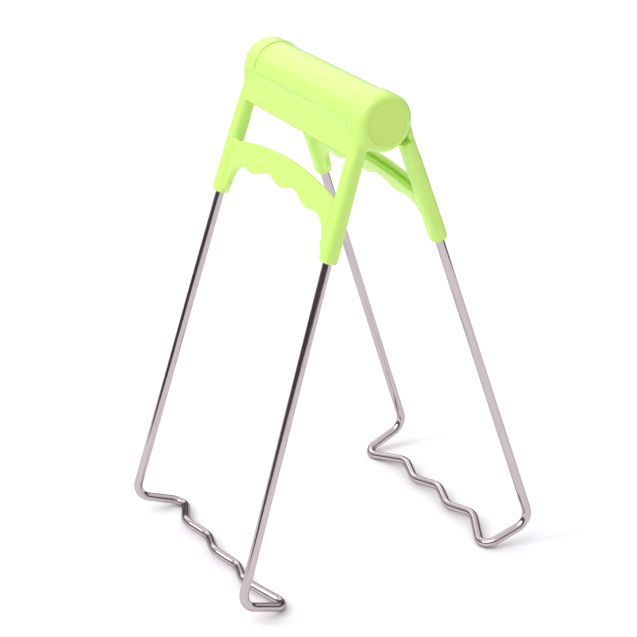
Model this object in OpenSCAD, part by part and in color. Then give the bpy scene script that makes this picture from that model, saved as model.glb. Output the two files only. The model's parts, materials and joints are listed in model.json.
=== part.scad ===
// Folding jar lifter: two wire jaws hinged under a moulded grip.
// Each jaw is drawn in its own frame, with the hinge axis along X, Y outwards and Z up the leg,
// and is then leaned out by the rest angle. All sizes are in millimetres.

/* [Wire jaws] */
// Diameter of the bent rod
wire_d = 3.5; // [3:0.1:4]
// Distance from the hinge axis to the bend above the foot, along the leg
leg_length = 190; // [160:1:210]
// Distance between the two legs at the bend, centre to centre
leg_spacing = 100; // [98:1:102]
// Sideways splay of each leg
leg_splay = 2.3; // [2:0.1:2.5]
// Lean of each jaw from the vertical when the lifter stands open
jaw_lean = 18; // [15:1:20]
// Distance from the hinge axis to the plane of the legs
jaw_offset = 7.4; // [7.2:0.1:7.6]
// Radius of the bend between a leg and its foot
bend_r = 6.5; // [5:0.5:7]

/* [Foot] */
// Reach of the foot, inwards from the bend
foot_reach = 23.6; // [22:0.2:25]
// Angle by which the foot dips below square to the leg
foot_dip = 2; // [0:0.5:3]
// Toe-in of the foot's side, at its inner end
foot_toe_in = 2; // [1:0.5:3]
// Radius of the foot's inner corners
corner_r = 4.7; // [4:0.1:5]
// Distance between the waves of the crossbar
wave_pitch = 27; // [26:0.5:28]
// Reach of the wave's outer dips, from the bend
wave_dip = 13.3; // [13:0.1:13.5]
// Reach of the wave's inner crests, from the bend
wave_crest = 17.7; // [17.5:0.1:18]
// Radius of each wave
wave_r = 9; // [8:0.5:10]

/* [Grip] */
// Radius of the two end collars
collar_r = 11; // [10.8:0.1:11.2]
// Half the length of the grip, to the collars' outer faces
grip_half = 47; // [46.5:0.1:47.5]
// Inner face of each collar
collar_inner = 37.2; // [37:0.1:37.5]
// Radius of the barrel's visible top, between the collars
barrel_r = 10.5; // [10.4:0.1:10.6]
// Radius of the barrel's core, which turns behind the front panel
core_r = 9.1; // [8.9:0.1:9.2]
// Distance from the hinge axis to the lower edge of the panels
panel_drop = 15.2; // [14:0.2:16]
// Distance from the hinge axis to the ends of the arms
arm_end = 54; // [52:1:56]
// Width of an arm
arm_w = 6.8; // [6.6:0.1:7.2]
// Depth of an arm
arm_t = 6.8; // [6.4:0.1:7]

/* [Finger bar] */
// Distance from the hinge axis to the bar's top edge, at its middle
bar_top = 27; // [26:0.5:28]
// Rise of the arched top edge, from its ends to its middle
bar_arch = 5; // [4:0.5:6]
// Distance from the hinge axis to the middle of the scalloped lower edge
bar_low = 37.4; // [37:0.2:38]
// Distance between finger notches
notch_pitch = 21.6; // [20:0.2:22]
// Height of the bumps between the notches, above and below their mean
notch_depth = 1.2; // [0.8:0.1:1.5]

/* [Hinge hardware] */
// Diameter of the hinge axle
axle_d = 4; // [3.8:0.1:4.2]
// Diameter of the spring's wire
spring_d = 1.2; // [1:0.1:1.4]
// Turns of the spring
spring_turns = 8; // [6:1:9]

/* [Hidden] */

plastic = "greenyellow";
steel = "lightgray";

wire_r = wire_d / 2;
run_gap = 0.05;         // clearance all round the axle and the wire ends
part_gap = 0.35;        // clearance between the two handles
lap = 1;                // how far one shape runs into the next that it grows from
panel_t = 1.8;
panel_out = 9.3;        // the panel's outer face at its lower edge
panel_half = 41;        // the front panel runs under the collars to here
panel_tangent = 26;     // where a panel leaves its round top
panel_in_angle = 38;    // the same, on its inner face
edge_angle = -11;       // where the front panel's top edge lies on the collar
rear_edge_angle = -10;
socket_top = 26;        // the wire ends here, inside the arm
strap_start = 11.5;     // the rear arms start here, clear of the collars
arm_corner_r = 2.5;
cap_r = 7.5;
cap_seat = 44;          // inner face of the end cap
cap_face = 46.7;        // outer face, a little behind the collar's rim
cap_spigot_r = 5;
axle_half = 41.5;
chamber_half = 30;      // half the length of the spring's chamber in the barrel
chamber_r = 6.9;
slot_angle = 48;        // middle of the slot under the barrel
slot_w = 8;
slot_len = 8;

// Where a leg stands sideways at a distance s down from the hinge axis
function leg_x(s) = leg_spacing / 2 - (leg_length - s) * tan(leg_splay);
// A point of the foot, at x and at the reach t inwards from the bend
function foot(x, t) = [x, jaw_offset - t * cos(foot_dip), -leg_length - t * sin(foot_dip)];

half_path = [
    [leg_x(socket_top), jaw_offset, -socket_top],
    foot(leg_spacing / 2, 0),
    foot(leg_spacing / 2 - foot_toe_in, foot_reach),
    foot(wave_pitch, wave_dip),
    foot(wave_pitch / 2, wave_crest),
];
half_radii = [0, bend_r, corner_r, wave_r, wave_r];
last = len(half_path) - 1;
path = concat(half_path, [foot(0, wave_dip)],
              [for (i = [last:-1:0]) [-half_path[i].x, half_path[i].y, half_path[i].z]]);
radii = concat(half_radii, [wave_r], [for (i = [last:-1:0]) half_radii[i]]);

// The lowest point of the foot is where its inner corner turns along X
toe = path[2] - path[1];
toe_line = unit(path[3] - path[2]);
corner_turn = acos(unit(toe) * toe_line);
corner_centre = path[2] + corner_r / cos(corner_turn / 2) * unit(toe_line - unit(toe));
foot_low_reach = (jaw_offset - corner_centre.y) / cos(foot_dip) + corner_r;
hinge_z = leg_length * cos(jaw_lean) - jaw_offset * sin(jaw_lean)
        + foot_low_reach * sin(jaw_lean + foot_dip) + wire_r;

function unit(v) = v / norm(v);

// The centre line of a rod with straight lengths between round bends, as points at every bend_step
bend_step = 11;
function bent_line(points, bends) = concat(
    [points[0]],
    [for (i = [1:len(points) - 2]) let (
        u = unit(points[i] - points[i - 1]),
        v = unit(points[i + 1] - points[i]),
        turn = acos(u * v),
        inward = unit(v - (u * v) * u),
        start = points[i] - bends[i] * tan(turn / 2) * u,
        steps = ceil(turn / bend_step))
            for (k = [0:steps]) let (a = turn * k / steps)
                start + bends[i] * (sin(a) * u + (1 - cos(a)) * inward)],
    [points[len(points) - 1]]
);

// A tube of radius r along a line of points, with flat ends; side is any direction square to its start
module tube(line, r, sides, side) {
    n = len(line);
    steps = [for (i = [0:n - 2]) unit(line[i + 1] - line[i])];
    dirs = [for (i = [0:n - 1]) unit(steps[max(i - 1, 0)] + steps[min(i, n - 2)])];
    across = [for (i = 0, e = side; i < n; i = i + 1, e = i < n ? unit(e - (e * dirs[i]) * dirs[i]) : e) e];
    rings = [for (i = [0:n - 1]) let (ex = unit(across[i] - (across[i] * dirs[i]) * dirs[i]),
                                      ey = cross(dirs[i], ex))
        for (k = [0:sides - 1]) line[i] + r * (cos(360 * k / sides) * ex + sin(360 * k / sides) * ey)];
    walls = [for (i = [0:n - 2], k = [0:sides - 1]) let (j = (k + 1) % sides)
        [i * sides + k, (i + 1) * sides + k, (i + 1) * sides + j, i * sides + j]];
    polyhedron(rings, concat(walls, [[for (k = [0:sides - 1]) k]],
                             [[for (k = [sides - 1:-1:0]) (n - 1) * sides + k]]));
}

// Puts a piece of the rear jaw where it stands at rest; the front jaw faces the other way
module rear() { translate([0, 0, hinge_z]) rotate([jaw_lean, 0, 0]) children(); }
module front() { translate([0, 0, hinge_z]) rotate([jaw_lean, 0, 180]) children(); }

// A cylinder along X
module along_x(x0, x1, r) {
    translate([x0, 0, 0]) rotate([0, 90, 0]) cylinder(h = x1 - x0, r = r, $fn = 96);
}
module both_sides() { children(); mirror([1, 0, 0]) children(); }

// Outline of a rectangle with rounded corners, about its centre
function rounded_rect(w, t, r, steps = 4) = [
    for (q = [0:3], k = [0:steps])
        let (a = 90 * q + 90 * k / steps, sx = (q == 0 || q == 3) ? 1 : -1, sy = q < 2 ? 1 : -1)
            [sx * (w / 2 - r) + r * cos(a), sy * (t / 2 - r) + r * sin(a)]
];

// One arm, from the distance top down to arm_end, in line with its leg
module arm(top) {
    translate([leg_x(0), jaw_offset, 0]) rotate([0, -leg_splay, 0])
        translate([0, 0, -arm_end]) linear_extrude(arm_end - top)
            polygon(rounded_rect(arm_w, arm_t, arm_corner_r));
}

// The hole that the end of the rod sits in
module socket() {
    translate([leg_x(0), jaw_offset, 0]) rotate([0, -leg_splay, 0])
        translate([0, 0, -arm_end - lap])
            cylinder(h = arm_end + lap - socket_top + part_gap, r = wire_r + run_gap, $fn = 24);
}

// Section of a panel that starts on the radius r_top and runs down to its lower edge, as (y, z)
function panel_section(r_top, r_in, start) = concat(
    [for (a = [start:-4:-panel_tangent]) r_top * [cos(a), sin(a)]],
    [[panel_out, -panel_drop], [panel_out - panel_t, -panel_drop]],
    [for (a = [-panel_in_angle:4:start]) r_in * [cos(a), sin(a)]]
);

// A section given as (y, z), drawn out along X
module wide(half, section) {
    rotate([90, 0, 90]) translate([0, 0, -half]) linear_extrude(2 * half) polygon(section);
}

// Outline of the finger bar, seen along Y: arched above, scalloped below, flared into the arms
bar_half = 41.5;
scallop_half = 28.5;
flare_r = 9.7;
web_drop = 2.6;         // the bar's web runs on down the arm this far below the flare
low_arch = 1.4;         // drop of the scalloped edge, one notch away from its middle
function bar_upper(x) = -bar_top - bar_arch * pow(x / bar_half, 2);
function bar_lower(x) = -bar_low - low_arch * pow(x / notch_pitch, 2)
                      - notch_depth * cos(360 * x / notch_pitch);
flare_drop = bar_lower(scallop_half) - flare_r;
bar_outline = concat(
    [for (x = [-bar_half:4.5:bar_half]) [x, bar_upper(x)]],
    [[bar_half, flare_drop - web_drop], [scallop_half + flare_r, flare_drop - web_drop + 2]],
    [for (a = [0:15:75]) [scallop_half + flare_r * cos(a), flare_drop + flare_r * sin(a)]],
    [for (x = [scallop_half:-1.5:-scallop_half]) [x, bar_lower(x)]],
    [for (a = [105:15:180]) [-scallop_half + flare_r * cos(a), flare_drop + flare_r * sin(a)]],
    [[-scallop_half - flare_r, flare_drop - web_drop + 2], [-bar_half, flare_drop - web_drop]]
);
bar_in = 6.3;
bar_t = 2.8;
recess = 1.2;           // the bar is thinner above its rib by this much
rib_in = 4.8;
rib_t = 1.5;
rib_drop = 2.2;         // from the bar's top edge down to the rib
rib_outline = concat(
    [for (x = [-bar_half:4.5:bar_half]) [x, bar_upper(x) - rib_drop]],
    [for (x = [bar_half:-4.5:-bar_half]) [x, bar_upper(x) - rib_drop - rib_t]]
);

// A shape in the plane of the legs, from the depth y0 out to y1
module upright(y0, y1, outline) {
    translate([0, y1, 0]) rotate([90, 0, 0]) linear_extrude(y1 - y0) polygon(outline);
}

rib_root = 0.3;         // how far the recess runs down into the rib
recess_outline = concat(
    [for (x = [-bar_half:4.5:bar_half]) [x, bar_upper(x) - rib_drop - rib_root]],
    [[bar_half + lap, bar_upper(bar_half) - rib_drop - rib_root], [bar_half + lap, 0], [-bar_half - lap, 0],
     [-bar_half - lap, bar_upper(bar_half) - rib_drop - rib_root]]
);

module finger_bar() {
    difference() {
        upright(bar_in, bar_in + bar_t, bar_outline);
        upright(bar_in - lap, bar_in + recess, recess_outline);
    }
    upright(rib_in, bar_in + lap, rib_outline);
}

// An end collar, with its rim rounded, drawn as (distance along X, radius)
rim_r = 2.8;
panel_r = collar_r - 0.1;
module collar() {
    profile = concat([[0, collar_inner], [collar_r, collar_inner]],
        [for (a = [0:15:90]) [collar_r - rim_r + rim_r * cos(a), grip_half - rim_r + rim_r * sin(a)]],
        [[0, grip_half]]);
    rotate([0, 90, 0]) rotate_extrude($fn = 96) polygon(profile);
}

module front_handle() {
    color(plastic) front() difference() {
        union() {
            both_sides() { collar(); arm(0); }
            wide(panel_half, panel_section(panel_r, core_r + part_gap, edge_angle));
            finger_bar();
        }
        both_sides() {
            socket();
            along_x(cap_seat, grip_half + lap, cap_r + run_gap);
            along_x(axle_half, cap_seat + lap, cap_spigot_r + run_gap);
            along_x(collar_inner - lap, axle_half + lap, axle_d / 2 + run_gap);
        }
        along_x(-collar_inner, collar_inner, core_r + part_gap);
    }
}

barrel_half = collar_inner - part_gap;
// In the rear jaw's own frame the barrel's top runs from the rear panel to the front panel's edge
barrel_start = -20;
stop_angle = 2;         // left between the barrel's step and the panel's edge at rest
barrel_end = 180 - edge_angle - 2 * jaw_lean - stop_angle;
strap_half = 45.6;

module rear_handle() {
    color(plastic) rear() difference() {
        union() {
            along_x(-barrel_half, barrel_half, core_r);
            translate([-barrel_half, 0, 0]) rotate([90, 0, 90])
                rotate([0, 0, barrel_start]) rotate_extrude(angle = barrel_end - barrel_start, $fn = 96)
                    translate([core_r - lap, 0]) square([barrel_r - core_r + lap, 2 * barrel_half]);
            wide(barrel_half, panel_section(panel_r - 0.5, core_r - lap, rear_edge_angle));
            difference() {
                wide(strap_half, panel_section(panel_r, core_r, rear_edge_angle));
                along_x(-grip_half, grip_half, collar_r + part_gap);
            }
            both_sides() arm(strap_start);
            finger_bar();
        }
        both_sides() socket();
        along_x(-barrel_half - lap, barrel_half + lap, axle_d / 2 + run_gap);
        along_x(-chamber_half, chamber_half, chamber_r);
        // The barrel is slotted below, where the spring's leg reaches the front panel
        rotate([slot_angle, 0, 0]) translate([coil_half - slot_len / 2, -core_r - lap, -slot_w / 2])
            cube([slot_len, core_r + lap, slot_w]);
    }
}

module wire_jaw() { tube(bent_line(path, radii), wire_r, 16, [0, 1, 0]); }
module front_wire_jaw() { color(steel) front() wire_jaw(); }
module rear_wire_jaw() { color(steel) rear() wire_jaw(); }

// A push-in cap: a thin disc on a spigot that covers the end of the axle
module end_cap() {
    along_x(cap_seat, cap_face, cap_r);
    along_x(axle_half + part_gap, cap_seat + part_gap, cap_spigot_r);
}
module right_end_cap() { color(plastic) front() mirror([1, 0, 0]) end_cap(); }
module left_end_cap() { color(plastic) front() end_cap(); }

module hinge_axle() { color(steel) front() along_x(-axle_half, axle_half, axle_d / 2); }

// The spring's centre line: a leg on the front panel, the coil, then a short leg in the barrel
spring_r = 4.6;
spring_pitch = 1.6;
spring_steps = 16;      // points a turn
coil_start = 216;       // where the coil leaves its long leg, clockwise from the top
long_leg = 12;
short_leg = 3.4;
coil_half = spring_turns * spring_pitch / 2;
function coil(t) = [-coil_half + spring_pitch * t,
                    spring_r * sin(coil_start + 360 * t), spring_r * cos(coil_start + 360 * t)];
function coil_dir(t) = [0, cos(coil_start + 360 * t), -sin(coil_start + 360 * t)];
spring_line = concat([coil(0) - long_leg * coil_dir(0)],
    [for (k = [0:spring_turns * spring_steps]) coil(k / spring_steps)],
    [coil(spring_turns) + short_leg * coil_dir(spring_turns)]);

module torsion_spring() { color(steel) front() tube(spring_line, spring_d / 2, 6, [1, 0, 0]); }

front_handle();
rear_handle();
front_wire_jaw();
rear_wire_jaw();
left_end_cap();
right_end_cap();
hinge_axle();
torsion_spring();
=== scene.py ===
"""A folding jar lifter: two bent-wire jaws hinged under a moulded lime-green grip.

Shapes are worked out in millimetres in each jaw's own frame, as the CAD draws them: X along the hinge axis,
Y outwards and Z up the leg. They are then leaned and placed in the row's frame, in metres.
"""

import json
import math

import bpy
import numpy as np
from mathutils import Matrix, Vector


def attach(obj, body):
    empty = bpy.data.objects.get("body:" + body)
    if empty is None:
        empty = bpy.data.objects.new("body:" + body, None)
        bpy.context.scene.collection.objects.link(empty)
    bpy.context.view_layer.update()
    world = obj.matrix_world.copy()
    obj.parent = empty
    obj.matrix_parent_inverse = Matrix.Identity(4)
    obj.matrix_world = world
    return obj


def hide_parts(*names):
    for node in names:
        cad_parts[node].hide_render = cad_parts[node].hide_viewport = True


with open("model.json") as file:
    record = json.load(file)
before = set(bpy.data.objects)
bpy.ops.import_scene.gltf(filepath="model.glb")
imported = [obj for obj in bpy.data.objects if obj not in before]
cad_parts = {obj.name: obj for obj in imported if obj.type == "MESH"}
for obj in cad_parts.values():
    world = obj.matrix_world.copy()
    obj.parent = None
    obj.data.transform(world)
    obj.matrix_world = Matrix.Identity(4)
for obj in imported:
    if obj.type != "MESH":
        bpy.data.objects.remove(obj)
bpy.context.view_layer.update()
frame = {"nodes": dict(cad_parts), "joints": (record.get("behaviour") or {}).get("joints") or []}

# ---------------------------------------------------------------- sizes, in millimetres and degrees
MM = 0.001
HINGE_Z = frame["joints"][0]["pos_m"][2]
JAW_LEAN = 18.0

WIRE_R = 1.75
LEG_LENGTH = 190.0
LEG_SPACING = 100.0
LEG_SPLAY = 2.3
JAW_OFFSET = 7.4
BEND_R = 6.5
FOOT_REACH = 23.6
FOOT_DIP = 2.0
FOOT_TOE_IN = 2.0
CORNER_R = 4.7
WAVE_PITCH = 27.0
WAVE_DIP = 13.3
WAVE_CREST = 17.7
WAVE_R = 9.0

COLLAR_R = 11.0
COLLAR_INNER = 37.2
GRIP_HALF = 47.0
RIM_R = 2.8
BARREL_R = 10.5
CORE_R = 9.1
PART_GAP = 0.35
RUN_GAP = 0.05
TUCK = 0.15          # the barrel's ends reach this far into the collars, so no open gap shows
BARREL_HALF = COLLAR_INNER + TUCK
BARREL_START = -20.0
BARREL_END = 158.0   # a little under the front panel's edge, for the same reason
PANEL_OUT = 9.3
PANEL_T = 1.8
PANEL_DROP = 15.2
PANEL_HALF = 41.0
FRONT_PANEL_START = -11
REAR_PANEL_START = -10
PANEL_STEP = 0.1     # the front panel's surface lies this far below the collars
REAR_PANEL_STEP = 0.6
ARM_END = 54.0
ARM_CORNER = 2.3
ARM_TIP_ROUNDING = 1.3
SOCKET_TOP = 26.0
STRAP_START = 11.5
STRAP_HALF = 45.2

SHARP = 0.05         # roundings of the moulded parts' edges and corners
FINE_EDGE = 0.1
SOFT_EDGE = 0.3
COLLAR_FILLET = 2.2
BAR_FILLET = 1.6
PANEL_FILLET = 0.8
REAR_PANEL_FILLET = 0.6
STRAP_FILLET = 0.4
SLOT_EDGE = 0.4
CUT_EDGE = 0.2
MOUTH_EDGE = 0.25
CAP_SEAT_EDGE = 0.6
PAST_END = 60.0      # a bore that runs right out of the part ends here
SHELL_ROOT = 1.0     # the barrel's shell and panel are rooted this deep in its core

BAR_HALF = 41.5
BAR_TOP = 27.0
BAR_ARCH = 5.0
BAR_LOW = 37.4
LOW_ARCH = 1.4
NOTCH_PITCH = 21.6
NOTCH_DEPTH = 1.2
SCALLOP_HALF = 28.5
FLARE_R = 9.7
WEB_DROP = 2.6
BAR_IN = 6.3
BAR_T = 2.8
RECESS = 1.2
RIB_IN = 4.8
RIB_T = 1.5
RIB_DROP = 2.2
RIB_ROOT = 0.3       # the recess starts this far above the rib's top
RIB_SINK = 1.0       # the rib is rooted this deep in the bar
BAR_EDGE = 0.6
RIB_EDGE = 0.7

CAP_R = 7.5
CAP_SEAT = 44.0
CAP_FACE = 46.85
CAP_SPIGOT_R = 5.0
AXLE_R = 2.0
CAP_CHAMFER = 0.3
SPIGOT_CHAMFER = 0.4
CAP_LIP = 0.42       # the face's edge is sunk this far into the collar's rounded rim
AXLE_HALF = 41.5
AXLE_BORE_FROM = 30.0
CHAMBER_R = 6.9
CHAMBER_HALF = 30.0
SLOT_ANGLE = 48.0
SLOT_W = 8.0
SLOT_LEN = 8.0

SPRING_R = 4.6
SPRING_WIRE_R = 0.6
SPRING_PITCH = 1.6
SPRING_TURNS = 8
COIL_START = 216.0
LONG_LEG = 12.0
SHORT_LEG = 3.4

CELL = 0.5           # grid of the moulded parts' meshes
WIRE_SIDES = 28
WIRE_STEP = 3.0      # longest step of the wire's mesh
SPRING_SIDES = 12
STEPS_PER_TURN = 40
END_WIDTH = 0.86     # a cut wire's end is chamfered to this part of its width


def jaw_matrix(facing):
    """From a jaw's own frame in millimetres to the row's frame in metres.

    The rear jaw faces 0 and the front jaw 180."""
    return (Matrix.Translation((0, 0, HINGE_Z)) @ Matrix.Rotation(math.radians(facing), 4, "Z")
            @ Matrix.Rotation(math.radians(JAW_LEAN), 4, "X") @ Matrix.Scale(MM, 4))


FRONT, REAR = jaw_matrix(180), jaw_matrix(0)


# ---------------------------------------------------------------- distance fields
def union(a, b, r=0.0):
    """Both shapes, with a fillet of radius r where they meet."""
    if not r:
        return np.minimum(a, b)
    return np.maximum(r, np.minimum(a, b)) - np.hypot(np.maximum(r - a, 0), np.maximum(r - b, 0))


def common(a, b, r=0.0):
    """What is in both shapes, with its new edge rounded to radius r."""
    return -union(-a, -b, r)


def cut(a, b, r=0.0):
    """a with b taken away, with the new edge rounded to radius r."""
    return common(a, -b, r)


def outline_distance(px, py, points):
    """Signed distance in a plane from a closed outline."""
    shape = np.broadcast(px, py).shape
    nearest, inside = np.full(shape, 1e9), np.zeros(shape, bool)
    for (ax, ay), (bx, by) in zip(points, np.roll(points, -1, axis=0)):
        ex, ey, wx, wy = bx - ax, by - ay, px - ax, py - ay
        t = np.clip((wx * ex + wy * ey) / (ex * ex + ey * ey), 0, 1)
        nearest = np.minimum(nearest, (wx - ex * t) ** 2 + (wy - ey * t) ** 2)
        if ey:
            inside ^= ((ay > py) != (by > py)) & (wx < ex * wy / ey)
    return np.where(inside, -1, 1) * np.sqrt(nearest)


def arc(radius, start, end, steps):
    a = np.radians(np.linspace(start, end, steps))
    return np.stack([radius * np.cos(a), radius * np.sin(a)], axis=1)


def leg_x(s):
    """Where a leg stands sideways, at the distance s down from the hinge axis."""
    return LEG_SPACING / 2 - (LEG_LENGTH - s) * math.tan(math.radians(LEG_SPLAY))


def arm(x, y, z, top):
    """Both arms, from the distance top down to their rounded ends; they taper towards the ends."""
    s = -z
    half = np.interp(s, [8, ARM_END], [3.4, 3.22])
    outer = np.interp(s, [11, 20, 50], [2.1, 2.6, 3.1])
    u = np.abs(np.abs(x) - leg_x(s)) - half + ARM_CORNER
    v = np.abs(y - JAW_OFFSET - (outer - half) / 2) - (outer + half) / 2 + ARM_CORNER
    body = np.hypot(np.maximum(u, 0), np.maximum(v, 0)) + np.minimum(np.maximum(u, v), 0) - ARM_CORNER
    return common(common(body, s - ARM_END, ARM_TIP_ROUNDING), top - s)


def socket(x, y, z):
    """The holes in the arms that the wire's ends sit in."""
    s = -z
    ring = np.hypot(np.abs(x) - leg_x(s), y - JAW_OFFSET)
    return common(ring - WIRE_R - RUN_GAP, SOCKET_TOP - PART_GAP - s)


def rod_x(x, y, z, r, x0, x1):
    """A cylinder along X."""
    return common(np.hypot(y, z) - r, np.maximum(x - x1, x0 - x))


def panel_section(r_top, r_in, start):
    """A panel seen along X: it wraps the barrel from the angle start down, then hangs straight."""
    hem = [[PANEL_OUT, -PANEL_DROP], [PANEL_OUT - PANEL_T, -PANEL_DROP]]
    return np.concatenate([arc(r_top, start, -26, 10), hem, arc(r_in, -38, start, 10)])


def bar_upper(x):
    return -BAR_TOP - BAR_ARCH * (x / BAR_HALF) ** 2


def bar_lower(x):
    notches = NOTCH_DEPTH * np.cos(2 * math.pi * x / NOTCH_PITCH)
    return -BAR_LOW - LOW_ARCH * (x / NOTCH_PITCH) ** 2 - notches


def bar_outlines():
    """Outlines of the finger bar and of its rib, seen along Y."""
    flare = bar_lower(SCALLOP_HALF) - FLARE_R
    upper = np.linspace(-BAR_HALF, BAR_HALF, 41)
    lower = np.linspace(SCALLOP_HALF, -SCALLOP_HALF, 96)
    half_flare = arc(FLARE_R, 0, 84, 14) + [SCALLOP_HALF, flare]
    flare_x, flare_end = SCALLOP_HALF + FLARE_R, flare - WEB_DROP
    web = [[BAR_HALF, flare_end - 1.4], [flare_x + 2.2, flare_end - 0.4],
           [flare_x + 0.9, flare_end + 1], [flare_x + 0.15, flare_end + 2.1]]
    mirrored = np.array([-1, 1])
    bar = np.concatenate([np.stack([upper, bar_upper(upper)], 1), web, half_flare,
                          np.stack([lower, bar_lower(lower)], 1),
                          half_flare[::-1] * mirrored, web[::-1] * mirrored])
    rib = np.concatenate([np.stack([upper, bar_upper(upper) - RIB_DROP], 1),
                          np.stack([upper, bar_upper(upper) - RIB_DROP - RIB_T], 1)[::-1]])
    return bar, rib


BAR_OUTLINE, RIB_OUTLINE = bar_outlines()


def finger_bar(x, y, z):
    """The scalloped bar between the arms, with a rib on its inner side and a recess above the rib."""
    web = common(outline_distance(x, z, BAR_OUTLINE), np.abs(y - BAR_IN - BAR_T / 2) - BAR_T / 2, BAR_EDGE)
    recess = np.maximum(bar_upper(x) - RIB_DROP - RIB_ROOT - z, y - BAR_IN - RECESS)
    web = cut(web, recess, CUT_EDGE)
    rib_out = BAR_IN + RIB_SINK
    rib = common(outline_distance(x, z, RIB_OUTLINE),
                 np.abs(y - (RIB_IN + rib_out) / 2) - (rib_out - RIB_IN) / 2, RIB_EDGE)
    return union(web, rib, SOFT_EDGE)


def front_grip(x, y, z):
    """The front handle: two collars, the panel between them, two arms and the finger bar."""
    ax, r = np.abs(x), np.hypot(y, z)
    collar = common(common(r - COLLAR_R, ax - GRIP_HALF, RIM_R), COLLAR_INNER - ax, SOFT_EDGE)
    outline = panel_section(COLLAR_R - PANEL_STEP, CORE_R + PART_GAP, FRONT_PANEL_START)
    panel = common(outline_distance(y, z, outline), ax - PANEL_HALF, FINE_EDGE)
    arms = arm(x, y, z, 0)
    body = union(union(collar, arms, COLLAR_FILLET), panel, PANEL_FILLET)
    body = union(body, union(finger_bar(x, y, z), arms, BAR_FILLET))
    body = cut(body, rod_x(x, y, z, CORE_R + PART_GAP, -COLLAR_INNER, COLLAR_INNER), CUT_EDGE)
    body = cut(body, rod_x(ax, y, z, CAP_R + RUN_GAP, CAP_SEAT, PAST_END), CAP_SEAT_EDGE)
    body = cut(body, rod_x(ax, y, z, CAP_SPIGOT_R + RUN_GAP, AXLE_HALF, PAST_END))
    body = cut(body, rod_x(ax, y, z, AXLE_R + RUN_GAP, AXLE_BORE_FROM, PAST_END))
    return cut(body, socket(x, y, z), MOUTH_EDGE)


def barrel_shell(y, z, r):
    """The barrel's raised part, from BARREL_START round to BARREL_END, seen along X."""
    middle = math.radians((BARREL_START + BARREL_END) / 2)
    half = math.radians((BARREL_END - BARREL_START) / 2)
    turned = np.abs((np.arctan2(z, y) - middle + math.pi) % (2 * math.pi) - math.pi)
    return common(r - BARREL_R, (turned - half) * r, SHARP)


def spring_slot(x, y, z):
    """The opening under the barrel that the spring's long leg reaches out of."""
    a = math.radians(SLOT_ANGLE)
    along, across = -(y * math.cos(a) + z * math.sin(a)), z * math.cos(a) - y * math.sin(a)
    slot_x = SPRING_TURNS * SPRING_PITCH / 2
    sides = np.maximum(np.abs(x - slot_x) - SLOT_LEN / 2, np.abs(across) - SLOT_W / 2)
    return common(sides, np.maximum(-along, along - CORE_R - SHELL_ROOT))


def rear_grip(x, y, z):
    """The rear handle: the barrel, the panel and strap behind it, two arms and the finger bar."""
    ax, r = np.abs(x), np.hypot(y, z)
    root = CORE_R - SHELL_ROOT
    core = common(r - CORE_R, ax - BARREL_HALF, SHARP)
    shell = common(common(barrel_shell(y, z, r), ax - BARREL_HALF, SHARP), root - r)
    outline = panel_section(COLLAR_R - REAR_PANEL_STEP, root, REAR_PANEL_START)
    panel = common(outline_distance(y, z, outline), ax - BARREL_HALF, SOFT_EDGE)
    outer = outline_distance(y, z, panel_section(COLLAR_R - PANEL_STEP, CORE_R, REAR_PANEL_START))
    strap = cut(common(outer, ax - STRAP_HALF, PANEL_FILLET), r - COLLAR_R - RUN_GAP, SHARP)
    arms = arm(x, y, z, STRAP_START)
    arms = cut(arms, r - COLLAR_R - PART_GAP, SOFT_EDGE)
    body = union(union(core, shell, SOFT_EDGE), panel, REAR_PANEL_FILLET)
    body = union(body, union(strap, arms, STRAP_FILLET), PANEL_FILLET)
    body = union(body, union(finger_bar(x, y, z), arms, BAR_FILLET))
    body = cut(body, rod_x(x, y, z, AXLE_R + RUN_GAP, -PAST_END, PAST_END))
    body = cut(body, rod_x(x, y, z, CHAMBER_R, -CHAMBER_HALF, CHAMBER_HALF))
    body = cut(body, spring_slot(x, y, z), SLOT_EDGE)
    return cut(body, socket(x, y, z), MOUTH_EDGE)


# ---------------------------------------------------------------- meshes
def new_object(name, points, faces, matrix, material, body, normals=None):
    """A mesh object from numpy points and faces, placed by matrix, riding on a body."""
    mesh = bpy.data.meshes.new(name)
    mesh.from_pydata([tuple(p) for p in points], [], [tuple(f) for f in faces])
    mesh.transform(matrix)
    mesh.polygons.foreach_set("use_smooth", np.ones(len(mesh.polygons), bool))
    if normals is not None:
        turn = np.array(matrix.to_3x3().normalized())
        mesh.normals_split_custom_set_from_vertices([tuple(n) for n in normals @ turn.T])
    mesh.materials.append(material)
    mesh.update()
    obj = bpy.data.objects.new(name, mesh)
    bpy.context.scene.collection.objects.link(obj)
    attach(obj, body)
    return obj


def slope(distance, p, h=0.04):
    """Gradient of a distance field at points p."""
    g = np.empty_like(p)
    for i in range(3):
        step = np.zeros(3)
        step[i] = h
        g[:, i] = (distance(*(p + step).T) - distance(*(p - step).T)) / (2 * h)
    return g


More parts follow.
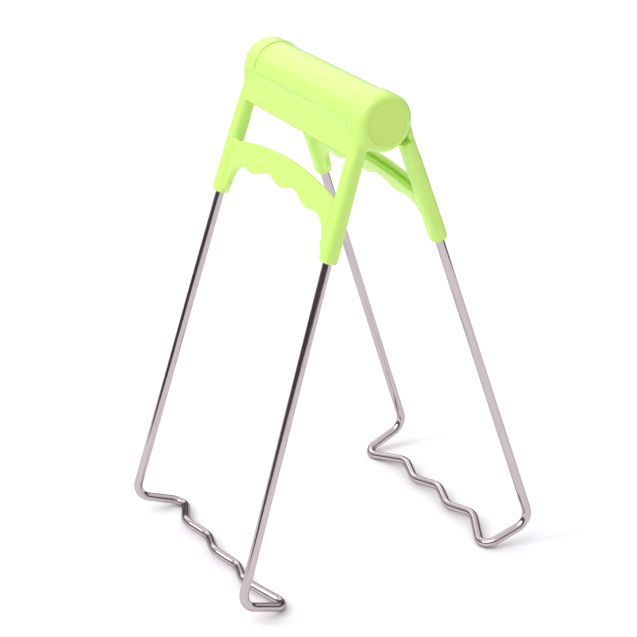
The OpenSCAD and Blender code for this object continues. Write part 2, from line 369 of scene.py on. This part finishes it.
def skin(distance, lo, hi, cell):
    """Points, quads and normals of a distance field's zero level.

    The quads come from surface nets, and the points are then pulled onto the level."""
    axes = [np.arange(a, b + cell, cell) + 0.013 for a, b in zip(lo, hi)]
    field = distance(axes[0][:, None, None], axes[1][None, :, None], axes[2][None, None, :])
    inside = field < 0
    offsets = [(i, j, k) for i in (0, 1) for j in (0, 1) for k in (0, 1)]
    nx, ny, nz = (n - 1 for n in field.shape)
    count = sum(inside[i:i + nx, j:j + ny, k:k + nz].astype(np.int8) for i, j, k in offsets)
    cells = np.argwhere((count > 0) & (count < 8))
    index = np.full((nx, ny, nz), -1)
    index[tuple(cells.T)] = np.arange(len(cells))
    total, hits = np.zeros((len(cells), 3)), np.zeros(len(cells))
    for a in offsets:
        for i in range(3):
            if a[i]:
                continue
            b = tuple(1 if j == i else a[j] for j in range(3))
            da, db = field[tuple((cells + a).T)], field[tuple((cells + b).T)]
            crossed = (da < 0) != (db < 0)
            t = np.where(crossed, da / np.where(crossed, da - db, 1), 0)
            total += crossed[:, None] * (np.array(a) + t[:, None] * (np.array(b) - np.array(a)))
            hits += crossed
    points = np.array([ax[0] for ax in axes]) + cell * (cells + total / hits[:, None])
    quads = []
    for i in range(3):
        j, k = (i + 1) % 3, (i + 2) % 3
        near = np.take(inside, range(field.shape[i] - 1), axis=i)
        far = np.take(inside, range(1, field.shape[i]), axis=i)
        edge = np.argwhere(near != far)
        edge = edge[(edge[:, [j, k]] > 0).all(1) & (edge[:, j] < field.shape[j] - 1)
                    & (edge[:, k] < field.shape[k] - 1)]
        ring = []
        for dj, dk in ((1, 1), (0, 1), (0, 0), (1, 0)):
            c = edge.copy()
            c[:, j] -= dj
            c[:, k] -= dk
            ring.append(index[tuple(c.T)])
        quad = np.stack(ring, axis=1)
        out = near[tuple(edge.T)]
        quads.append(np.where(out[:, None], quad, quad[:, ::-1]))
    for _ in range(3):
        g = slope(distance, points)
        size = np.maximum((g * g).sum(1), 0.25)
        move = g * (distance(*points.T) / size)[:, None]
        points -= np.clip(move, -0.3 * cell, 0.3 * cell)
    g = slope(distance, points)
    return points, np.concatenate(quads), g / np.maximum(np.linalg.norm(g, axis=1), 1e-6)[:, None]


def unit(v):
    return v / np.linalg.norm(v)


def bent_line(points, radii, step=3.0):
    """Centre line of a rod with straight lengths between round bends."""
    line = [points[0]]
    for before, corner, after, r in zip(points, points[1:], points[2:], radii[1:]):
        u, v = unit(corner - before), unit(after - corner)
        turn = math.acos(float(u @ v))
        inward = unit(v - (u @ v) * u)
        start = corner - r * math.tan(turn / 2) * u
        for a in np.linspace(0, turn, math.ceil(math.degrees(turn) / step) + 1):
            line.append(start + r * (math.sin(a) * u + (1 - math.cos(a)) * inward))
    return np.array(line + [points[-1]])


def fill_in(line, longest):
    """The same line with extra points, so no step is longer than longest."""
    out = [line[0]]
    for a, b in zip(line, line[1:]):
        n = max(1, math.ceil(np.linalg.norm(b - a) / longest))
        out += [a + (b - a) * (k + 1) / n for k in range(n)]
    return np.array(out)


def tube(line, r, sides, end_width):
    """Points and faces of a round tube, each point's place along it, and the number of sides.

    Its end faces are narrower than the tube: end_width is their radius as a part of r."""
    dirs = np.array([unit(line[min(i + 1, len(line) - 1)] - line[max(i - 1, 0)]) for i in range(len(line))])
    side = unit(np.cross(dirs[0], [0.3, 0.8, 0.5]))
    length = np.concatenate([[0], np.cumsum(np.linalg.norm(np.diff(line, axis=0), axis=1))])
    rings, where = [], []
    angles = np.linspace(0, 2 * math.pi, sides, endpoint=False)
    for i, (p, d) in enumerate(zip(line, dirs)):
        side = unit(side - (side @ d) * d)
        other = np.cross(d, side)
        circle = np.cos(angles)[:, None] * side + np.sin(angles)[:, None] * other
        widths = [1.0]
        if i == 0:
            widths = [end_width, 1.0]
        elif i == len(line) - 1:
            widths = [1.0, end_width]
        for k in widths:
            rings.append(p + r * k * circle)
            where.append(length[i])
    n = len(rings)
    faces = []
    for i in range(n - 1):
        a = i * sides + np.arange(sides)
        b = i * sides + (np.arange(sides) + 1) % sides
        faces += np.stack([a, b, b + sides, a + sides], axis=1).tolist()
    faces += [list(range(sides))[::-1], [(n - 1) * sides + k for k in range(sides)]]
    return np.concatenate(rings), faces, np.repeat(where, sides), sides


def wire_uv(obj, along, sides, r):
    """A UV map in millimetres, along and around the wire."""
    mesh = obj.data
    layer = mesh.uv_layers.new(name="drawn")
    uv = np.zeros((len(mesh.loops), 2), np.float32)
    vertex = np.zeros(len(mesh.loops), int)
    mesh.loops.foreach_get("vertex_index", vertex)
    uv[:, 0] = along[vertex]
    turn = vertex % sides
    for p in mesh.polygons:
        if p.loop_total == 4:
            loops = slice(p.loop_start, p.loop_start + 4)
            if turn[loops].max() - turn[loops].min() > 1:
                turn[loops] = np.where(turn[loops] == 0, sides, turn[loops])
    uv[:, 1] = turn * 2 * math.pi * r / sides
    layer.data.foreach_set("uv", uv.ravel())


def lathe(profile, segments=96):
    """Points and faces of a profile of (distance along X, radius) turned about X.

    The profile starts and ends on the axis."""
    angles = np.linspace(0, 2 * math.pi, segments, endpoint=False)
    rings = [np.stack([np.full(segments, x), r * np.cos(angles), r * np.sin(angles)], 1)
             for x, r in profile[1:-1]]
    points = np.concatenate([[[profile[0][0], 0, 0]], *rings, [[profile[-1][0], 0, 0]]])
    k, nxt = np.arange(segments), (np.arange(segments) + 1) % segments
    faces = [[0, 1 + b, 1 + a] for a, b in zip(k, nxt)]
    for i in range(len(rings) - 1):
        base = 1 + i * segments
        faces += np.stack([base + k, base + nxt, base + segments + nxt, base + segments + k], 1).tolist()
    base, end = 1 + (len(rings) - 1) * segments, len(points) - 1
    faces += [[end, base + a, base + b] for a, b in zip(k, nxt)]
    return points, faces


# ---------------------------------------------------------------- materials
class Nodes:
    """A small helper that adds nodes to a material and links them."""

    def __init__(self, name):
        self.material = bpy.data.materials.new(name)
        self.material.use_nodes = True
        self.tree = self.material.node_tree
        self.shader = self.tree.nodes["Principled BSDF"]

    def add(self, kind, inputs=None, **settings):
        node = self.tree.nodes.new(kind)
        for key, value in settings.items():
            setattr(node, key, value)
        for key, value in (inputs or {}).items():
            self.feed(node, key, value)
        return node

    def feed(self, node, key, value):
        socket = node.inputs[key]
        if isinstance(value, bpy.types.NodeSocket):
            self.tree.links.new(value, socket)
        else:
            socket.default_value = value

    def set(self, **inputs):
        for key, value in inputs.items():
            self.feed(self.shader, key.replace("_", " "), value)

    def noise(self, vector, scale, detail=3.0, rough=0.5):
        inputs = {"Vector": vector, "Scale": scale, "Detail": detail, "Roughness": rough}
        return self.add("ShaderNodeTexNoise", inputs).outputs["Fac"]

    def sum(self, a, b):
        return self.add("ShaderNodeMath", {0: a, 1: b}, operation="ADD").outputs[0]

    def ramp(self, value, low, high):
        """Maps a value of 0.3 to 0.7 onto low to high."""
        inputs = {"Value": value, "From Min": 0.3, "From Max": 0.7, "To Min": low, "To Max": high}
        return self.add("ShaderNodeMapRange", inputs).outputs["Result"]

    def blend(self, fac, a, b):
        mix = self.add("ShaderNodeMix", data_type="RGBA")
        self.feed(mix, 0, fac)
        self.feed(mix, 6, a)
        self.feed(mix, 7, b)
        return mix.outputs[2]

    def bump(self, height, strength, distance, normal=None):
        node = self.add("ShaderNodeBump", {"Height": height, "Strength": strength, "Distance": distance})
        if normal is not None:
            self.feed(node, "Normal", normal)
        return node.outputs["Normal"]


def plastic(name, light, deep, shine):
    """Glossy moulded plastic: slightly cloudy colour, a faint moulding ripple and fine handling marks."""
    n = Nodes(name)
    place = n.add("ShaderNodeTexCoord").outputs["Object"]
    cloud = n.noise(place, 55.0, 2.0)
    speck = n.noise(place, 1500.0, 2.0)
    colour = n.blend(n.ramp(cloud, 0.0, 1.0), light, deep)
    rough = n.sum(n.ramp(cloud, shine - 0.03, shine + 0.03), n.ramp(speck, -0.02, 0.03))
    ripple = n.bump(n.noise(place, 160.0, 2.0), 0.12, 0.0004)
    n.set(Base_Color=colour, Roughness=rough, Normal=n.bump(speck, 0.05, 0.00005, ripple))
    n.set(IOR=1.5, Subsurface_Weight=0.12, Subsurface_Scale=0.0012, Subsurface_Radius=(0.6, 1.0, 0.25))
    return n.material


def steel(name, light, dark, shine, edge, uv=True):
    """Polished drawn steel: fine lengthwise draw marks and a little uneven polish."""
    n = Nodes(name)
    place = n.add("ShaderNodeTexCoord").outputs["Object"]
    coords = n.add("ShaderNodeUVMap", uv_map="drawn").outputs["UV"] if uv else place
    stretch = (0.06, 2.2, 1.0) if uv else (30.0, 2200.0, 2200.0)
    drawn = n.add("ShaderNodeMapping", {"Vector": coords, "Scale": stretch}).outputs["Vector"]
    streaks = n.noise(drawn, 1.0, 4.0, 0.6)
    patches = n.noise(place, 70.0, 2.0)
    n.set(Base_Color=n.blend(n.ramp(streaks, 0.0, 1.0), light, dark), Metallic=1.0,
          Roughness=n.sum(n.ramp(streaks, shine - 0.04, shine + 0.05), n.ramp(patches, -0.02, 0.04)),
          Normal=n.bump(streaks, 0.08, 0.00005), Specular_Tint=edge)
    return n.material


LIME = plastic("lime_plastic", (0.64, 0.94, 0.22, 1), (0.62, 0.93, 0.20, 1), 0.22)
LIME_CAP = plastic("lime_cap_plastic", (0.65, 0.92, 0.19, 1), (0.63, 0.90, 0.17, 1), 0.32)
WIRE = steel("polished_wire", (0.60, 0.54, 0.56, 1), (0.52, 0.46, 0.48, 1), 0.09, (0.4, 0.36, 0.38, 1))
SPRING = steel("spring_wire", (0.50, 0.50, 0.52, 1), (0.38, 0.38, 0.40, 1), 0.3, (0.8, 0.8, 0.8, 1))
AXLE = steel("axle_steel", (0.60, 0.60, 0.61, 1), (0.45, 0.45, 0.46, 1), 0.25, (0.8, 0.8, 0.8, 1), uv=False)

# ---------------------------------------------------------------- the moulded handles
LOW, HIGH = (-GRIP_HALF - 1, -COLLAR_R - 1, -ARM_END - 1), (GRIP_HALF + 1, COLLAR_R + 1.5, COLLAR_R + 1)
for node, field, matrix, body in (("front_handle", front_grip, FRONT, "front_frame"),
                                  ("rear_handle", rear_grip, REAR, "rear_frame")):
    points, quads, normals = skin(field, LOW, HIGH, CELL)
    handle = new_object("moulded_" + node, points, quads, matrix, LIME, body, normals)
    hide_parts(node)

# ---------------------------------------------------------------- the wire jaws
def foot(x, reach):
    dip = math.radians(FOOT_DIP)
    return np.array([x, JAW_OFFSET - reach * math.cos(dip), -LEG_LENGTH - reach * math.sin(dip)])


half_path = [np.array([leg_x(SOCKET_TOP), JAW_OFFSET, -SOCKET_TOP]),
             foot(LEG_SPACING / 2, 0), foot(LEG_SPACING / 2 - FOOT_TOE_IN, FOOT_REACH),
             foot(WAVE_PITCH, WAVE_DIP), foot(WAVE_PITCH / 2, WAVE_CREST)]
half_radii = [0, BEND_R, CORNER_R, WAVE_R, WAVE_R]
other_half = [p * [-1, 1, 1] for p in half_path[::-1]]
wire_line = bent_line(half_path + [foot(0, WAVE_DIP)] + other_half, half_radii + [WAVE_R] + half_radii[::-1])
wire_line = fill_in(wire_line, WIRE_STEP)
for node, matrix, body in (("front_wire_jaw", FRONT, "front_frame"), ("rear_wire_jaw", REAR, "rear_frame")):
    points, faces, along, sides = tube(wire_line, WIRE_R, WIRE_SIDES, END_WIDTH)
    wire = new_object("drawn_" + node, points, faces, matrix, WIRE, body)
    wire_uv(wire, along, sides, WIRE_R)
    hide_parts(node)

# ---------------------------------------------------------------- end caps, spring and axle
SPIGOT_END = AXLE_HALF + PART_GAP
spigot = [(SPIGOT_END, 0), (SPIGOT_END, CAP_SPIGOT_R - SPIGOT_CHAMFER),
          (SPIGOT_END + SPIGOT_CHAMFER, CAP_SPIGOT_R), (CAP_SEAT, CAP_SPIGOT_R)]
rim = [(CAP_SEAT, CAP_R - CAP_CHAMFER), (CAP_SEAT + CAP_CHAMFER, CAP_R),
       (CAP_SEAT + 2 * CAP_CHAMFER, CAP_R + 0.06), (CAP_FACE - CAP_CHAMFER, CAP_R + 0.1),
       (CAP_FACE, CAP_R + CAP_LIP), (CAP_FACE, CAP_R + CAP_LIP - 0.06)]
disc = [(CAP_FACE, CAP_R - 0.5), (CAP_FACE, 5.0), (CAP_FACE, 2.5), (CAP_FACE, 0)]
cap_profile = spigot + rim + disc
for side, sign in (("left", 1), ("right", -1)):
    points, faces = lathe(cap_profile)
    points = points * [sign, 1, 1]
    if sign < 0:
        faces = [f[::-1] for f in faces]
    cap = new_object(side + "_cap", points, faces, FRONT, LIME_CAP, "front_frame")
    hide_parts(side + "_end_cap")


def coil(t):
    a = math.radians(COIL_START + 360 * t)
    return np.array([SPRING_PITCH * (t - SPRING_TURNS / 2), SPRING_R * math.sin(a), SPRING_R * math.cos(a)])


def coil_direction(t):
    a = math.radians(COIL_START + 360 * t)
    return np.array([0, math.cos(a), -math.sin(a)])


spring_line = [coil(0) - LONG_LEG * coil_direction(0)]
spring_line += [coil(t) for t in np.linspace(0, SPRING_TURNS, SPRING_TURNS * STEPS_PER_TURN + 1)]
spring_line = np.array(spring_line + [coil(SPRING_TURNS) + SHORT_LEG * coil_direction(SPRING_TURNS)])
points, faces, along, sides = tube(spring_line, SPRING_WIRE_R, SPRING_SIDES, END_WIDTH)
spring = new_object("coiled_spring", points, faces, FRONT, SPRING, "front_frame")
wire_uv(spring, along, sides, SPRING_WIRE_R)
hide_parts("torsion_spring")

axle = frame["nodes"]["hinge_axle"]
axle.data.materials.clear()
axle.data.materials.append(AXLE)

# ---------------------------------------------------------------- floor and light
floor_nodes = Nodes("pale_floor")
floor_nodes.set(Base_Color=(0.93, 0.92, 0.95, 1), Roughness=0.85, Specular_IOR_Level=0.2)
bpy.ops.mesh.primitive_plane_add(size=8, location=(0, 0, 0))
floor = bpy.context.object
floor.name = "floor"
floor.data.materials.append(floor_nodes.material)


def round_wall(name, material, centre, radius, angles, low, high):
    """An upright wall round the set; low and high are the heights of its edges at each angle in degrees."""
    a, segments = np.radians(angles), len(angles)
    x, y = centre[0] + radius * np.cos(a), centre[1] + radius * np.sin(a)
    points = np.concatenate([np.stack([x, y, low], 1), np.stack([x, y, high], 1)])
    k, nxt = np.arange(segments), (np.arange(segments) + 1) % segments
    mesh = bpy.data.meshes.new(name)
    mesh.from_pydata(points.tolist(), [], np.stack([k, nxt, nxt + segments, k + segments], 1).tolist())
    mesh.materials.append(material)
    wall = bpy.data.objects.new(name, mesh)
    bpy.context.scene.collection.objects.link(wall)
    wall.visible_diffuse = wall.visible_shadow = wall.visible_transmission = False
    return wall


def backdrop(radius, height, segments=96):
    """A plain pale wall behind the floor, which only the camera sees: low views have no grey horizon."""
    n = Nodes("white_wall")
    n.set(Base_Color=(0, 0, 0, 1), Emission_Color=(1, 1, 1, 1), Emission_Strength=1.0,
          Specular_IOR_Level=0.0)
    a = np.linspace(0, 360, segments, endpoint=False)
    floor_edge, top = np.zeros(segments), np.full(segments, height)
    wall = round_wall("backdrop", n.material, (0, 0), radius, a, floor_edge, top)
    wall.visible_glossy = False


backdrop(3.9, 3.0)

world = bpy.data.worlds.new("studio")
bpy.context.scene.world = world
world.use_nodes = True
sky = world.node_tree
direction = sky.nodes.new("ShaderNodeSeparateXYZ")
brighter_above = sky.nodes.new("ShaderNodeMapRange")
for key, value in (("From Min", 0.35), ("From Max", 0.65), ("To Min", 0.3), ("To Max", 0.98)):
    brighter_above.inputs[key].default_value = value
sky.links.new(sky.nodes.new("ShaderNodeTexCoord").outputs["Generated"], direction.inputs[0])
sky.links.new(direction.outputs["Z"], brighter_above.inputs["Value"])
sky.links.new(brighter_above.outputs["Result"], sky.nodes["Background"].inputs["Strength"])
sky.nodes["Background"].inputs["Color"].default_value = (1.0, 0.985, 1.0, 1)


def lamp(name, kind, place, target, power):
    """A light at place that shines at target."""
    light = bpy.data.lights.new(name, kind)
    light.energy = power
    holder = bpy.data.objects.new(name, light)
    holder.location = place
    holder.rotation_mode = "QUATERNION"
    holder.rotation_quaternion = (Vector(target) - Vector(place)).to_track_quat("-Z", "Y")
    bpy.context.scene.collection.objects.link(holder)
    return light


FRONT_BOX_PLACE = (-0.23, -0.81, 0.70)
front_light = lamp("front_light", "SUN", (0, -1.4, 2.0), (0, 0, 0), 1.1)
front_light.angle = math.radians(50)
rear_box = lamp("rear_box", "AREA", (-1.0, 0.1, 0.62), (0, 0, 0.1), 1.9)
rear_box.shape = "RECTANGLE"
rear_box.size, rear_box.size_y = 1.3, 0.5
front_box = lamp("front_box", "AREA", FRONT_BOX_PLACE, (0, 0, HINGE_Z), 1.2)
front_box.size = 0.14
# Only reflections see this one: it adds the small glints on the collar's shoulder
glint_box = lamp("glint_box", "AREA", FRONT_BOX_PLACE, (0, 0, HINGE_Z), 1.2)
glint_box.size = 0.07
bpy.data.objects["glint_box"].visible_diffuse = False


def dark_surround(centre, radius, raised, lift, height, segments=120):
    """A low dark wall that only reflections see: it puts the dark streaks on the polished wires.

    Between the two directions in raised, in degrees, it stands off the floor by lift."""
    n = Nodes("dark_card")
    n.set(Base_Color=(0.11, 0.095, 0.10, 1), Roughness=1.0, Specular_IOR_Level=0.0)
    a = np.linspace(-180, 180, segments, endpoint=False)
    low = np.where((a > raised[0]) & (a < raised[1]), lift, 0.0)
    high = np.where(np.abs(a) > LOW_SIDE_FROM, LOW_SIDE_HEIGHT, height)
    wall = round_wall("surround", n.material, centre, radius, a, low, high)
    wall.visible_camera = False


LOW_SIDE_FROM, LOW_SIDE_HEIGHT = 135, 0.1
dark_surround((0.12, -0.02), 0.7, (-72, -20), 0.07, 0.28)

# ---------------------------------------------------------------- camera
AZIMUTH, ELEVATION, ROLL = math.radians(61.80), math.radians(23.67), math.radians(-0.85)
back = Vector((math.sin(AZIMUTH) * math.cos(ELEVATION), -math.cos(AZIMUTH) * math.cos(ELEVATION),
               math.sin(ELEVATION)))
right = Vector((math.cos(AZIMUTH), math.sin(AZIMUTH), 0))
up = back.cross(right)
turned_right = right * math.cos(ROLL) + up * math.sin(ROLL)
turned_up = up * math.cos(ROLL) - right * math.sin(ROLL)
camera_data = bpy.data.cameras.new("camera")
camera_data.sensor_width = 36
camera_data.lens = 105.3
camera_data.clip_start, camera_data.clip_end = 0.01, 50
camera = bpy.data.objects.new("camera", camera_data)
place = Vector((0.5935, -0.3221, HINGE_Z + 0.2030))
axes = Matrix((turned_right, turned_up, back)).transposed()
camera.matrix_world = Matrix.Translation(place) @ axes.to_4x4()
bpy.context.scene.collection.objects.link(camera)
bpy.context.scene.camera = camera
bpy.context.scene.view_settings.view_transform = "Standard"
bpy.context.scene.view_settings.look = "None"
